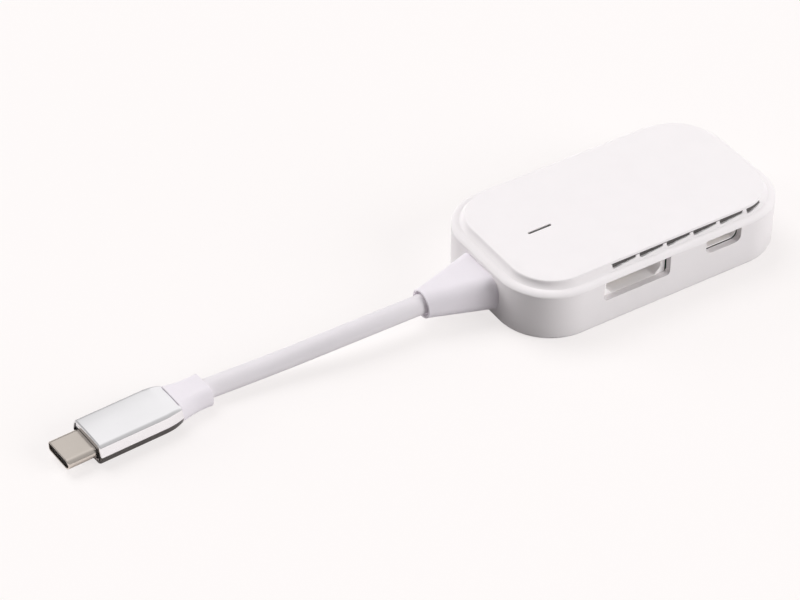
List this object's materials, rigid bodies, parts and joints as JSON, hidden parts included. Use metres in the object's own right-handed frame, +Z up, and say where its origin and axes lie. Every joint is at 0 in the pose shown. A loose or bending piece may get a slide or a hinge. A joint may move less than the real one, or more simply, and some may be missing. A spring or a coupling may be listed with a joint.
{
  "type": "wireless screen sharing dongle",
  "caption": "Flat white housing with a video socket, a small power socket, cooling slits and an indicator slit, and a short captive cable ending in a flat reversible plug in a metal sleeve.",
  "frame": {"origin": "centre of the housing's underside", "axes": "+X along the housing, away from the cable; +Y towards the plain long wall, so the sockets open towards -Y; +Z up"},
  "size_m": [0.1673, 0.04, 0.0137],
  "materials": {
    "housing_plastic": "fine matte moulded plastic, cool white",
    "cable_jacket": "smooth soft jacket, pale lavender white",
    "boot_plastic": "smooth soft moulded plastic, pale white",
    "sleeve_metal": "polished bright metal",
    "tip_metal": "satin nickel-plated steel",
    "socket_metal": "satin plated sheet steel",
    "dark_plastic": "dark moulded insulator",
    "contact_gold": "gold-plated contact strip",
    "clear_plastic": "milky light pipe",
    "board_laminate": "green lacquered laminate",
    "chip_plastic": "moulded chip body",
    "shield_metal": "tinned sheet steel",
    "heat_pad": "soft heat-conducting pad",
    "spreader_metal": "rolled aluminium plate",
    "screw_steel": "zinc-plated steel",
    "aerial_film": "flexible printed film",
    "lead_jacket": "thin lead jacket",
    "ceramic": "ceramic body with tinned ends",
    "wire_jacket": "thin wire jackets"
  },
  "bodies": {
    "root": {"bottom_shell": "housing_plastic", "top_shell": "housing_plastic", "light_pipe": "clear_plastic", "indicator_lamp": "ceramic", "main_board": "board_laminate", "board_screws": "screw_steel", "video_socket_shell": "socket_metal", "video_socket_tongue": "dark_plastic", "video_socket_contacts": "contact_gold", "power_socket_shell": "socket_metal", "power_socket_tongue": "dark_plastic", "power_socket_contacts": "contact_gold", "power_socket_base": "dark_plastic", "shield_frame": "shield_metal", "shield_lid": "shield_metal", "processor": "chip_plastic", "processor_pad": "heat_pad", "memory_chips": "chip_plastic", "thermal_pad": "heat_pad", "heat_spreader": "spreader_metal", "radio_module": "shield_metal", "lead_sockets": "contact_gold", "left_aerial": "aerial_film", "right_aerial": "aerial_film", "aerial_leads": "lead_jacket", "power_coils": "chip_plastic", "capacitors": "ceramic", "crystal": "shield_metal", "storage_chip": "chip_plastic", "cable_boot": "boot_plastic", "cable_inner": "cable_jacket", "cable_wires": "wire_jacket", "cable": "cable_jacket", "plug_tip": "tip_metal", "plug_insulator": "dark_plastic", "plug_contacts": "contact_gold", "plug_sleeve": "sleeve_metal", "plug_collar": "dark_plastic", "plug_can": "shield_metal", "plug_board": "board_laminate", "plug_chip": "chip_plastic", "plug_neck": "boot_plastic"}
  },
  "joints": []
}
